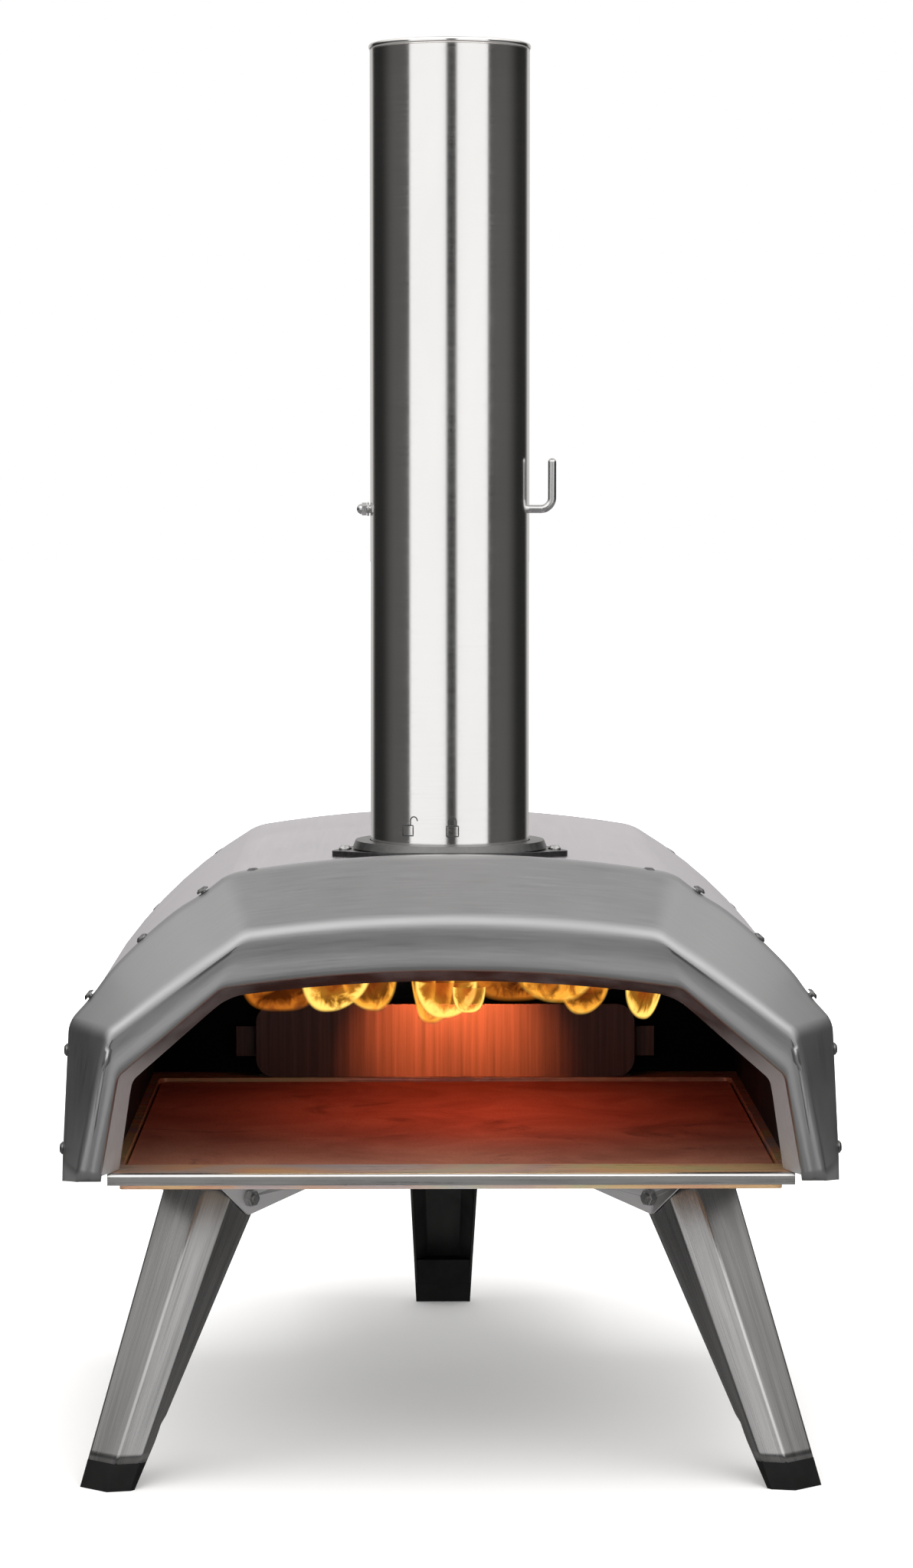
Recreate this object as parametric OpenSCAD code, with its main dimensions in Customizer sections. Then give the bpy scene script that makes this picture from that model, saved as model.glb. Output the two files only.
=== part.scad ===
// Portable wood fired pizza oven on three folding legs.
// Millimetres. +Z is up, -Y is the front, X is across, Z = 0 is the ground under the feet.
// Depths inside the modules are measured from the ridge of the front shroud, and heights from a
// level datum_z above the ground: home() moves both to their places.

/* [Body] */
// Depth of the front shroud, from its ridge to its rear edge
shroud_depth = 45; // [40:1:50]
// Depth of the oven body, from the ridge to the rear wall
body_depth = 402; // [395:1:410]
// Sheet thickness of the shroud, shells and boxes
sheet = 1.5; // [1:0.1:1.6]
// Depth of the whole oven, from the ridge to the tray handle
whole_depth = 640; // [635:1:650]

/* [Stone] */
// Side of the square baking stone
stone_side = 338; // [330:1:338]
// Thickness of the baking stone
stone_t = 8; // [7:0.5:8]

/* [Chimney] */
// Outer radius of the chimney tube
chimney_r = 42; // [41.5:0.1:42.5]
// Height of the chimney's open top above the ground
chimney_top = 751; // [701:5:786]
// Height of the damper's axis above the ground
damper_z = 508; // [486:1:526]

/* [Legs] */
// Angle of each leg out from the vertical
leg_splay = 25; // [24.5:0.1:25.5]
// Angle of the front legs away from straight ahead
leg_turn = 40; // [38:0.5:42]
// Height of the leg hinges above the ground
hinge_z = 143.6; // [143:0.1:144]

/* [Burner] */
// Outer width of the burner box at the rear
burner_w = 196; // [190:1:200]
// Length of the fuel tray
tray_l = 174; // [160:1:176]

/* [Hidden] */

datum_z = 6;
round_fn = 64;
small_fn = 32;
eps = 0.02;

// Arch outlines: foot, hip, shoulder and crown of the right half in X and Z, then the shoulder's bulge.
shroud_rear = [[202, 150], [197.6, 236.8], [113.5, 314.5], [0, 324], 6.3];
shroud_ridge = [[194.4, 150], [177, 237.2], [105.4, 289.8], [0, 297.4], 1];
shroud_mouth = [[181, 150], [169.6, 214], [117.3, 258.7], [0, 267.7], 0];
oven_mouth = [[172, 150], [163.4, 208.7], [114.4, 251.8], [0, 259.8], 0];
shell_arch = [[197, 158], [194.6, 236], [112, 311.5], [0, 321], 6.3];
liner_arch = [[176, 150], [171, 222], [114, 268], [0, 280], 0];
hip_r = 16;
shoulder_r = 30;
mouth_r = 9;

shell_t = 1.2;
shroud_rim_y = shroud_depth - 8;
ridge_y = 3.5;
lip_y = 7;
frame_y = lip_y + 0.1;
mouth_y = 22;
shell_y = shroud_rim_y + 0.5;

pan_top = 162.2;
pan_y = 15;
pan_half = 176.5;
recess_y = 33;
recess_gap = 1.5;
pan_crest = 163.9;
pan_t = 1.2;
stone_top = 160;
stone_y = recess_y + recess_gap + pan_t;
base_bottom = 149.5;
base_half = 174;
base_y = 62;
base_corner = 2.5;

chimney_y = 103;
chimney_t = 1;
spigot_r = chimney_r - chimney_t - 0.5;
spigot_t = 1;
spigot_top = 346;
spigot_bottom = 268;
flange_t = 3;
flange_lug_x = 55.5;
flange_r = 54;
flange_lug_r = 7;
flange_top = shell_arch[3].y + flange_t;
collar_r = 51;
collar_h = 3;
collar_run = 0.5;
tube_top = chimney_top - datum_z;
tube_bottom = flange_top + 0.05;

damper_level = damper_z - datum_z;
rod_r = 2.2;
rod_run = 0.06;
damper_r = chimney_r - chimney_t - 2;
handle_x = 54;
handle_rise = 26.8;
handle_bend = 6;

burner_top = 282;
burner_y = body_depth + sheet + 0.1;
burner_end = 590;
hatch_pin_y = 412;
hatch_pin_z = burner_top + 5.5;
hatch_pin_r = 2;
hatch_run = 0.06;
knuckle_r = 4;
hatch_y0 = 420;
hatch_y1 = 543;
hatch_half = 86;
hatch_z = burner_top + 0.4;
hatch_t = 2;

tray_half = 84;
tray_z = base_bottom + sheet + 0.5;
tray_top = 198;
tray_y1 = burner_end - 1;
tray_y0 = tray_y1 - tray_l;
grate_z = 174;
tray_grip_r = 6;
tray_grip_y = whole_depth - tray_grip_r;
tray_grip_z = 184;

// Leg section: half width of the web, width and angle of the folded sides, reach of the flanges.
web_w = 23.4;
leg_hinge_section = [13.9, 15.4, -8.4];
leg_floor_section = [9.9, 11.7, 11];
leg_reach = hinge_z / cos(leg_splay);
side_fold = 50;
leg_t = 1.5;
leg_head = 10;
leg_run = 190;
leg_top_z = 6.6;
leg_crown_r = 9;
leg_step = 122;
leg_foot_edge = 8.2;
shoe_h = 13.5;
shoe_edge = 9;
plug_h = 30;
bolt_r = 2.5;
bolt_run = 0.06;
ear_t = 1.2;
ear_gap = 0.5;
ear_in = 62;
ear_out = 26;
ear_end = 2;
ear_drop = 9.2;
ear_round = 3;
hinge_x = 126.2;
front_hinge_y = 103.9;
rear_hinge_y = 469;
ear_v = leg_side(leg_hinge_section).y + ear_gap;

// ---------------------------------------------------------------- outlines

function unit(v) = v / norm(v);

// Points of a round of radius r at corner b, between a and c.
function fillet(a, b, c, r, n = 6) =
    let (
        u = unit(a - b),
        v = unit(c - b),
        half = acos(u * v) / 2,
        centre = b + unit(u + v) * r / sin(half),
        start = b + u * r / tan(half) - centre,
        finish = b + v * r / tan(half) - centre,
        a0 = atan2(start.y, start.x),
        turn = atan2(finish.y, finish.x) - a0,
        sweep = turn > 180 ? turn - 360 : turn < -180 ? turn + 360 : turn
    )
    [for (i = [0 : n]) centre + r * [cos(a0 + sweep * i / n), sin(a0 + sweep * i / n)]];

// Centre height and radius of the crown's arc.
function crown_r(p) =
    let (rise = p[3].y - p[2].y)
    (p[2].x * p[2].x + rise * rise) / (2 * rise);

function crown_point(p, a) = [0, p[3].y - crown_r(p)] + crown_r(p) * [cos(a), sin(a)];

function crown_start(p) = atan2(p[2].y - p[3].y + crown_r(p), p[2].x);

// Point and direction at fraction f of edge i; the shoulder edge bulges outwards.
function edge_bulge(p, i) =
    let (d = unit(p[i + 1] - p[i]))
    (i == 1 ? 4 * p[4] : 0) * [-d.y, d.x] * -1;

function edge_point(p, i, f) = p[i] + f * (p[i + 1] - p[i]) + f * (1 - f) * edge_bulge(p, i);

function edge_way(p, i, f) = unit(p[i + 1] - p[i] + (1 - 2 * f) * edge_bulge(p, i));

function half_arch(p, r1, r2, n = 6) =
    let (
        a = crown_start(p),
        ahead = p[2] + 30 * [-sin(a), cos(a)]
    )
    concat(
        [p[0]],
        fillet(p[0], p[1], p[1] + 30 * edge_way(p, 1, 0), r1),
        [for (f = [0.2 : 0.15 : 0.8]) edge_point(p, 1, f)],
        fillet(p[2] - 30 * edge_way(p, 1, 1), p[2], ahead, r2),
        [for (i = [1 : n]) crown_point(p, a + (90 - a) * i / n)]
    );

function arch(p, r1 = hip_r, r2 = shoulder_r) =
    let (half = half_arch(p, r1, r2), last = len(half) - 1)
    concat(half, [for (i = [1 : last]) [-half[last - i].x, half[last - i].y]]);

// The same outline moved inwards by t.
function inset(p, t) = [
    p[0] - [t, 0],
    p[1] - [t, 0.43 * t],
    p[2] - [0.49 * t, 0.92 * t],
    p[3] - [0, t],
    p[4]
];

// Place and outward angle of a point on edge i of an outline.
function on_arch(p, i, f) =
    let (way = edge_way(p, i, f), at = edge_point(p, i, f))
    [at.x, at.y, atan2(-way.x, way.y)];

// ---------------------------------------------------------------- shared shapes

module home() {
    translate([0, -whole_depth / 2, datum_z])
        children();
}

// A flat outline in X and Z, from depth y0 to depth y1.
module slab(points, y0, y1) {
    translate([0, y1, 0])
        rotate([90, 0, 0])
            linear_extrude(y1 - y0)
                polygon(points);
}

// An outline in Y and Z, extruded across X.
module across(points, half) {
    rotate([90, 0, 90])
        translate([0, 0, -half])
            linear_extrude(2 * half)
                polygon(points);
}

module both_sides() {
    children();
    mirror([1, 0, 0])
        children();
}

module block(low, high) {
    translate(low)
        cube(high - low);
}

module rod_x(x0, x1, r, fn = small_fn) {
    translate([x0, 0, 0])
        rotate([0, 90, 0])
            cylinder(h = x1 - x0, r = r, $fn = fn);
}

// A thin plate in X and Y with round corners.
module round_plate(x_half, y0, y1, z0, z1, r) {
    translate([0, 0, z0])
        linear_extrude(z1 - z0)
            round_rectangle(x_half, y0, y1, r);
}

module round_rectangle(x_half, y0, y1, r) {
    translate([-x_half + r, y0])
        square([2 * (x_half - r), y1 - y0]);
    translate([-x_half, y0 + r])
        square([2 * x_half, y1 - y0 - 2 * r]);
    for (x = [-x_half + r, x_half - r])
        for (y = [y0 + r, y1 - r])
            translate([x, y])
                circle(r, $fn = small_fn);
}

module chimney_hole(r) {
    translate([0, chimney_y, 250])
        cylinder(h = 100, r = r, $fn = round_fn);
}

// Round head with a short shank, standing on the plane Z = 0.
module screw(head_r, head_h, shank_r, shank_l) {
    cylinder(h = head_h * 0.4, r = head_r, $fn = small_fn);
    translate([0, 0, head_h * 0.4])
        cylinder(h = head_h * 0.6, r1 = head_r, r2 = head_r * 0.6, $fn = small_fn);
    translate([0, 0, -shank_l])
        cylinder(h = shank_l + eps, r = shank_r, $fn = small_fn);
}

// ---------------------------------------------------------------- oven body

module shroud_form(t) {
    hull() {
        slab(arch(inset(shroud_rear, t)), shroud_rim_y, shroud_depth + t);
        slab(arch(inset(shroud_ridge, t)), ridge_y + t / 2, ridge_y + t / 2 + eps);
        slab(arch(inset(shroud_ridge, 2.2 + t)), 0.9 + t, 0.9 + t + eps);
        slab(arch(inset(shroud_ridge, 4.6 + t)), t, t + eps);
    }
}

module front_shroud() {
    color("darkgray")
    home() {
        difference() {
            shroud_form(0);
            shroud_form(sheet);
            slab(arch(shroud_mouth, mouth_r), -1, 20);
            shroud_feet();
        }
        difference() {
            slab(arch(inset(shroud_mouth, -sheet), mouth_r), 0.5, lip_y);
            slab(arch(shroud_mouth, mouth_r), 0, lip_y + 1);
            shroud_feet();
        }
    }
}

// The feet fall towards the rear, where their corner is round.
shroud_foot = 160.5;
shroud_foot_rear = 153.8;
shroud_foot_r = 5;

module shroud_feet() {
    front = [0, shroud_foot];
    corner = [shroud_depth, shroud_foot_rear];
    ahead = front + (front - corner) / 5;
    across(
        concat(
            [[60, 100], [ahead.x, 100], ahead],
            fillet(ahead, corner, corner + [0, 30], shroud_foot_r),
            [[60, shroud_foot_rear + shroud_foot_r]]
        ),
        210
    );
}

shroud_screw_places = [[0, 0.25], [0, 0.84], [1, 0.155], [1, 0.505], [1, 0.852], [2, 0.1]];

module arch_screws(p, places, y, head_r, head_h) {
    both_sides()
        for (place = places) {
            at = on_arch(p, place[0], place[1]);
            translate([at[0], y, at[1]])
                rotate([0, 90 - at[2], 0])
                    screw(head_r, head_h, 1.5, 6.5);
        }
}

module shroud_screws() {
    color("gainsboro")
    home()
        arch_screws(shroud_rear, shroud_screw_places, shroud_rim_y + 4, 3.3, 1.8);
}

module mouth_frame() {
    color("gray")
    home()
        difference() {
            union() {
                slab(arch(inset(shroud_mouth, -5), mouth_r), frame_y, frame_y + sheet);
                hull() {
                    slab(arch(inset(shroud_mouth, -2), mouth_r), frame_y, frame_y + eps);
                    slab(arch(inset(oven_mouth, -sheet), mouth_r), mouth_y, mouth_y + sheet);
                }
                slab(arch(inset(liner_arch, -shell_t), mouth_r), mouth_y, mouth_y + sheet);
            }
            hull() {
                slab(arch(inset(shroud_mouth, -0.4), mouth_r), frame_y - 0.3, frame_y - 0.3 + eps);
                slab(arch(oven_mouth, mouth_r), mouth_y, mouth_y + 3);
            }
            block([-210, 0, 100], [210, 60, pan_top + 0.1]);
            across(pan_step, pan_half + 0.5);
        }
}

// Clearance over the front lip of the floor pan.
pan_step = [
    [0, pan_top],
    [0, pan_top + 0.2],
    [pan_y, pan_top + 0.2],
    [recess_y + 2, pan_crest + 0.3],
    [recess_y + 2, pan_top]
];

module outer_shell() {
    color("lightgray")
    home()
        difference() {
            slab(arch(shell_arch), shell_y, body_depth);
            slab(arch(inset(shell_arch, shell_t)), shell_y - 1, body_depth + 1);
            chimney_hole(spigot_r + 0.2);
        }
}

module inner_shell() {
    color("dimgray")
    home()
        difference() {
            slab(arch(inset(liner_arch, -shell_t), mouth_r), mouth_y + sheet + 0.1, body_depth);
            slab(arch(liner_arch, mouth_r), mouth_y, body_depth + 1);
            block([-210, 0, 100], [210, body_depth + 5, pan_top + 0.1]);
            across(pan_step, pan_half + 0.5);
            chimney_hole(spigot_r + 0.2);
        }
}

module insulation() {
    color("white")
    home()
        difference() {
            slab(arch(inset(shell_arch, shell_t + 0.3)), shroud_depth + 2, body_depth - 7);
            slab(arch(inset(liner_arch, -shell_t - 0.3), mouth_r), 0, body_depth + 1);
            block([-210, 0, 100], [210, body_depth + 5, pan_top + 1.5]);
            chimney_hole(spigot_r + 0.5);
        }
}

window_half = 88;
window_z0 = 168;
window_z1 = 258;

module rear_wall() {
    color("silver")
    home()
        difference() {
            union() {
                slab(arch(shell_arch), body_depth + 0.1, body_depth + sheet);
                difference() {
                    slab(arch(inset(shell_arch, shell_t + 0.1)), body_depth - 6, body_depth + 0.2);
                    slab(arch(inset(shell_arch, shell_t + 1.3)), body_depth - 7, body_depth + 0.1);
                    block([-210, 300, 100], [210, 500, pan_top + 1]);
                }
            }
            block([-window_half, 380, window_z0], [window_half, 420, window_z1]);
        }
}

rear_screw_places = [[0, 0.3], [0, 0.8], [1, 0.3], [1, 0.75], [2, 0.3]];

module rear_screws() {
    color("gainsboro")
    home()
        arch_screws(shell_arch, rear_screw_places, body_depth - 3.5, 3, 0.5);
}

module floor_pan() {
    color("peru")
    home()
        difference() {
            union() {
                across(pan_lip, pan_half);
                translate([0, pan_y + pan_nose_r, pan_top - pan_nose_r])
                    rod_x(-pan_half, pan_half, pan_nose_r, small_fn);
                block([-178, mouth_y + 2, pan_top - pan_t], [178, body_depth, pan_top]);
                intersection() {
                    round_plate(
                        recess_half + pan_t, recess_y, recess_end + pan_t,
                        recess_bottom, pan_top - eps, 6
                    );
                    across(recess_side, recess_half + 5);
                }
            }
            round_plate(
                recess_half, recess_y + pan_t, recess_end,
                stone_top - stone_t, pan_top + 9, 5
            );
        }
}

pan_nose_r = 2;

pan_drop = 6.2;
pan_fold_y = pan_y + 0.4;

// Section of the front lip in Y and Z: a rolled nose with a rising face behind it and a fold under it.
pan_lip = [
    [pan_y + pan_nose_r, pan_top],
    [recess_y + pan_t, pan_crest],
    [recess_y + pan_t, pan_crest - pan_t],
    [pan_y + 6, pan_top - pan_t],
    [pan_y + 4, pan_top - 2 * pan_nose_r],
    [pan_fold_y + pan_t, pan_top - 2 * pan_nose_r],
    [pan_fold_y + pan_t, pan_top - pan_drop],
    [pan_fold_y, pan_top - pan_drop],
    [pan_fold_y, pan_top - pan_nose_r]
];

recess_half = stone_side / 2 + recess_gap;
recess_end = stone_y + stone_side + recess_gap;

// Side view of the stone's recess, with its lower front edge rounded.
recess_bottom = stone_top - stone_t - pan_t;
recess_r = 2.5;
recess_side = concat(
    [[recess_y - 1, pan_top + 1], [recess_y, pan_top]],
    fillet([recess_y, pan_top], [recess_y, recess_bottom], [recess_end, recess_bottom], recess_r),
    [[recess_end + 5, recess_bottom], [recess_end + 5, pan_top + 1]]
);

module base_tray() {
    color("silver")
    home()
        difference() {
            union() {
                base_form(0, base_bottom);
                block(
                    [-shell_arch[0].x + shell_t + 0.3, base_y, shell_arch[0].y],
                    [shell_arch[0].x - shell_t - 0.3, body_depth, shell_arch[0].y + shell_t]
                );
            }
            base_form(shell_t, base_bottom + shell_t);
            block(
                [-recess_half - 2, base_y - 1, base_bottom + shell_t],
                [recess_half + 2, base_y + shell_t + 1, pan_top]
            );
        }
}

// Shallow tray with rounded lower side edges.
module base_form(t, bottom) {
    half = base_half - t;
    top = pan_top - pan_t - 0.2 + t;
    r = base_corner - t;
    y0 = base_y + t;
    y1 = body_depth - t;
    block([-half + r, y0, bottom], [half - r, y1, top]);
    block([-half, y0, bottom + r], [half, y1, top]);
    both_sides()
        translate([half - r, y1, bottom + r])
            rotate([90, 0, 0])
                cylinder(h = y1 - y0, r = r, $fn = small_fn);
}

module baking_stone() {
    color("sienna")
    home()
        round_plate(stone_side / 2, stone_y, stone_y + stone_side, stone_top - stone_t + 0.05, stone_top, 4);
}

guard_y = 378;
guard_half = 113;
guard_top = 206;
guard_corner = 11;

module burner_guard() {
    color("saddlebrown")
    home() {
        translate([0, guard_y + sheet, 0])
            rotate([90, 0, 0])
                linear_extrude(sheet)
                    round_rectangle(guard_half, pan_top + 0.1, guard_top, guard_corner);
        both_sides()
            block([guard_half - 13, guard_y + 1, pan_top + 12], [guard_half - 11.5, 400, guard_top - 12]);
        both_sides()
            block([guard_half - 12, guard_y + 6, pan_top + 12], [guard_half + 12, guard_y + 7.2, guard_top - 14]);
        both_sides()
            block([guard_half - 12, guard_y + 5, pan_top + 0.1], [guard_half - 2, guard_y + 14, pan_top + 1.3]);
        both_sides()
            block([guard_half - 12.6, guard_y + 5, pan_top + 0.1], [guard_half - 11.5, guard_y + 14, pan_top + 13]);
    }
}

// ---------------------------------------------------------------- burner box

module burner_outline(t) {
    across([
        [burner_y - t, base_bottom + t],
        [burner_end - t, base_bottom + t],
        [burner_end - t, 232],
        [552 - t, burner_top - t],
        [burner_y - t, burner_top - t]
    ], burner_w / 2 - t);
}

vent_rows = 3;
vent_x = 24;

module burner_box() {
    color("silver")
    home() {
        difference() {
            burner_outline(0);
            burner_outline(sheet);
            block([-78, hatch_y0 + 8, burner_top - 5], [78, hatch_y1 - 8, burner_top + 5]);
            block([-88, burner_end - 5, base_bottom + sheet], [88, burner_end + 5, tray_top + 4]);
            for (row = [0 : vent_rows - 1])
                for (x = [-2 : 2])
                    translate([x * vent_x, 590 - 12 * row - 6, 238 + 14.3 * row])
                        rotate([50, 0, 0])
                            block([-9, -4, -2], [9, 4, 2]);
        }
        for (x = [-52, 40])
            translate([x, 0, 0])
                knuckle(12, hatch_pin_r, burner_top - 0.4, -knuckle_r);
        both_sides()
            block([90, burner_y + 0.01, base_bottom + 30], [burner_w / 2 - 0.5, burner_y + sheet, burner_top - 10]);
    }
}

// Hinge barrel along X on a short foot that reaches down to z_low.
module knuckle(w, bore_r, z_low, y_foot) {
    difference() {
        union() {
            translate([0, hatch_pin_y, hatch_pin_z])
                rod_x(0, w, knuckle_r);
            block([0, hatch_pin_y + y_foot, z_low], [w, hatch_pin_y + y_foot + 2 * knuckle_r, hatch_pin_z]);
        }
        translate([0, hatch_pin_y, hatch_pin_z])
            rod_x(-1, w + 1, bore_r);
    }
}

module hatch_lid() {
    color("darkgray")
    home() {
        round_plate(hatch_half, hatch_y0, hatch_y1, hatch_z, hatch_z + hatch_t, 6);
        difference() {
            round_plate(75, hatch_y0 + 11, hatch_y1 - 11, burner_top - 4, hatch_z + 1, 4);
            round_plate(74, hatch_y0 + 12, hatch_y1 - 12, burner_top - 5, hatch_z + 0.5, 3);
        }
        difference() {
            union() {
                translate([0, hatch_pin_y, hatch_pin_z])
                    rod_x(-38, 38, knuckle_r);
                block([-38, hatch_pin_y, hatch_z], [38, hatch_y0 + 4, hatch_z + hatch_t]);
                block([-38, hatch_pin_y + 1, hatch_z], [38, hatch_pin_y + knuckle_r, hatch_pin_z]);
            }
            translate([0, hatch_pin_y, hatch_pin_z])
                rod_x(-40, 40, hatch_pin_r + hatch_run);
        }
    }
}

hatch_grip_y = 518;
hatch_grip_z = hatch_z + hatch_t + 20;

module hatch_handle() {
    color("black")
    home()
        grip(hatch_grip_y, hatch_grip_z, 40, 5.5, hatch_z + hatch_t + 0.02);
}

// Round bar on two posts that stand on the height z_foot.
module grip(y, z, half, r, z_foot) {
    translate([0, y, z])
        rod_x(-half, half, r);
    both_sides()
        translate([half, y, z])
            sphere(r, $fn = small_fn);
    both_sides()
        translate([half - 8, y, z_foot])
            cylinder(h = z - z_foot, r = 3.5, $fn = small_fn);
}

module hatch_pin() {
    color("silver")
    home()
        translate([0, hatch_pin_y, hatch_pin_z]) {
            rod_x(-54, 54, hatch_pin_r);
            both_sides()
                rod_x(52.1, 54, hatch_pin_r + 1.2);
        }
}

module fuel_tray() {
    color("dimgray")
    home() {
        difference() {
            block([-tray_half, tray_y0, tray_z], [tray_half, tray_y1 + 1.5, tray_top]);
            block(
                [-tray_half + sheet, tray_y0 + sheet, tray_z + sheet],
                [tray_half - sheet, tray_y1 - sheet, tray_top + 1]
            );
            for (x = [-3 : 3])
                block([x * 20 - 5, tray_y0 - 1, tray_z + 6], [x * 20 + 5, tray_y0 + 5, tray_z + 12]);
        }
        both_sides()
            block(
                [tray_half - sheet - 4, tray_y0 + 1, grate_z - sheet],
                [tray_half - 1, tray_y1 - 1, grate_z]
            );
        block([-93, burner_end + 0.3, tray_z], [93, burner_end + 1.8, tray_top + 8]);
    }
}

grate_slots = 9;

module fuel_grate() {
    color("dimgray")
    home()
        difference() {
            block(
                [-tray_half + sheet + 1, tray_y0 + sheet + 1, grate_z + 0.05],
                [tray_half - sheet - 1, tray_y1 - sheet - 1, grate_z + 2]
            );
            for (i = [0 : grate_slots - 1])
                block(
                    [-66, tray_y0 + 14 + i * 17, grate_z - 1],
                    [66, tray_y0 + 22 + i * 17, grate_z + 4]
                );
        }
}

module tray_handle() {
    color("black")
    home() {
        translate([0, tray_grip_y, tray_grip_z])
            rod_x(-46, 46, tray_grip_r);
        both_sides()
            translate([46, tray_grip_y, tray_grip_z])
                sphere(tray_grip_r, $fn = small_fn);
        both_sides()
            translate([36, burner_end + 1.82, tray_grip_z])
                rotate([-90, 0, 0])
                    cylinder(h = tray_grip_y - burner_end - 1.82, r = 4, $fn = small_fn);
    }
}

// ---------------------------------------------------------------- chimney

// Points of an arc about (x, 0).
function arc(x, r, a0, a1, n) =
    [for (i = [0 : n]) [x + r * cos(a0 + (a1 - a0) * i / n), r * sin(a0 + (a1 - a0) * i / n)]];

// Eye shape: a large round with a small round lug at each side.
function eye(r_mid, r_lug) =
    let (a = acos((r_mid - r_lug) / flange_lug_x))
    concat(
        arc(flange_lug_x, r_lug, -a, a, 10),
        arc(0, r_mid, a, 180 - a, 24),
        arc(-flange_lug_x, r_lug, 180 - a, 180 + a, 10),
        arc(0, r_mid, 180 + a, 360 - a, 24)
    );

module chimney_flange() {
    color("dimgray")
    home()
        difference() {
            union() {
                intersection() {
                    translate([0, chimney_y, 300])
                        linear_extrude(40)
                            polygon(eye(flange_r, flange_lug_r));
                    difference() {
                        slab(arch(inset(shell_arch, -flange_t)), 40, 170);
                        slab(arch(inset(shell_arch, -0.02)), 30, 180);
                    }
                }
                translate([0, chimney_y, flange_top - 1])
                    cylinder(h = collar_h + 1, r1 = collar_r + 0.5, r2 = collar_r - 1, $fn = round_fn);
            }
            chimney_hole(spigot_r + 0.02);
            translate([0, chimney_y, flange_top])
                cylinder(h = 20, r = chimney_r + collar_run, $fn = round_fn);
        }
}

module flange_screws() {
    color("gainsboro")
    home()
        both_sides()
            translate([flange_lug_x, chimney_y, flange_top - 2.6])
                screw(3.4, 2.6, 1.8, 5);
}

module chimney_spigot() {
    color("silver")
    home()
        translate([0, chimney_y, spigot_bottom])
            difference() {
                cylinder(h = spigot_top - spigot_bottom, r = spigot_r, $fn = round_fn);
                translate([0, 0, -1])
                    cylinder(h = spigot_top, r = spigot_r - spigot_t, $fn = round_fn);
            }
}

module chimney_tube() {
    color("silver")
    home()
        difference() {
            translate([0, chimney_y, 0]) {
                translate([0, 0, tube_bottom])
                    cylinder(h = tube_top - tube_bottom, r = chimney_r, $fn = round_fn);
                translate([0, 0, tube_top - 3])
                    cylinder(h = 3, r = chimney_r + 0.6, $fn = round_fn);
            }
            translate([0, chimney_y, tube_bottom - 1])
                cylinder(h = tube_top, r = chimney_r - chimney_t, $fn = round_fn);
            translate([0, chimney_y, damper_level])
                rod_x(-60, 60, rod_r + rod_run);
        }
}

module damper_plate() {
    color("dimgray")
    home()
        translate([0, chimney_y, damper_level])
            difference() {
                union() {
                    translate([0, 0.6, 0])
                        rotate([90, 0, 0])
                            cylinder(h = 1.2, r = damper_r, $fn = round_fn);
                    rod_x(-34, 34, rod_r + 1);
                }
                rod_x(-60, 60, rod_r);
            }
}

module damper_rod() {
    color("silver")
    home()
        translate([0, chimney_y, damper_level]) {
            rod_x(-nut_x - nut_bore, handle_x - handle_bend, rod_r);
            translate([handle_x - handle_bend, 0, handle_bend])
                rotate([90, 0, 0])
                    rotate([0, 0, -90])
                        rotate_extrude(angle = 90, $fn = round_fn)
                            translate([handle_bend, 0])
                                circle(rod_r, $fn = small_fn);
            translate([handle_x, 0, handle_bend])
                cylinder(h = handle_rise - handle_bend - rod_r, r = rod_r, $fn = small_fn);
            translate([handle_x, 0, handle_rise - rod_r])
                sphere(rod_r, $fn = small_fn);
        }
}

nut_x = chimney_r + 1.9;
nut_hex = 2.4;
nut_r = 3.4;
nut_dome_r = 2.8;
nut_bore = 2;

module damper_nut() {
    color("silver")
    home()
        translate([-nut_x, chimney_y, damper_level])
            rotate([0, -90, 0])
                difference() {
                    union() {
                        cylinder(h = nut_hex, r = nut_r, $fn = 6);
                        translate([0, 0, nut_hex - eps])
                            rotate_extrude($fn = small_fn)
                                polygon(concat([[0, 0]], arc(0, nut_dome_r, 0, 90, 6)));
                    }
                    translate([0, 0, -1])
                        cylinder(h = 1 + nut_bore, r = rod_r, $fn = small_fn);
                }
}

module damper_washer() {
    color("silver")
    home()
        translate([-chimney_r - 1.6, chimney_y, damper_level])
            difference() {
                rod_x(0, 1, 3.7);
                rod_x(-1, 2, rod_r + 0.02);
            }
}

// ---------------------------------------------------------------- legs

// Section of a leg at the length t below its hinge.
function leg_section(t) = leg_hinge_section + (leg_floor_section - leg_hinge_section) * t / leg_reach;

// Corner between the folded side and the flange of a leg section, as [w, v].
function leg_side(s) = [web_w - s[1] * sin(side_fold), s[0] + s[1] * cos(side_fold)];

function leg_outline(s, t) =
    let (
        side = leg_side(s),
        w = web_w - t,
        slant = t * tan(side_fold / 2),
        flare = t * tan((90 - side_fold) / 2)
    )
    [
        [w, s[0] - slant],
        [side.x - flare, side.y - t],
        [s[2] - 2 * t, side.y - t],
        [s[2] - 2 * t, -side.y + t],
        [side.x - flare, -side.y + t],
        [w, -s[0] + slant]
    ];

// Tapered form along the leg: w points out, v points along the hinge, the leg runs down -Z.
module leg_form(t, head, tail) {
    hull() {
        translate([0, 0, head])
            linear_extrude(eps)
                polygon(leg_outline(leg_section(-head), t));
        translate([0, 0, tail])
            linear_extrude(eps)
                polygon(leg_outline(leg_section(-tail), t));
    }
}

// Turns a leg out from the vertical, with its hinge at the origin and +X pointing outwards.
module splayed() {
    rotate([0, -leg_splay, 0])
        children();
}

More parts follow.
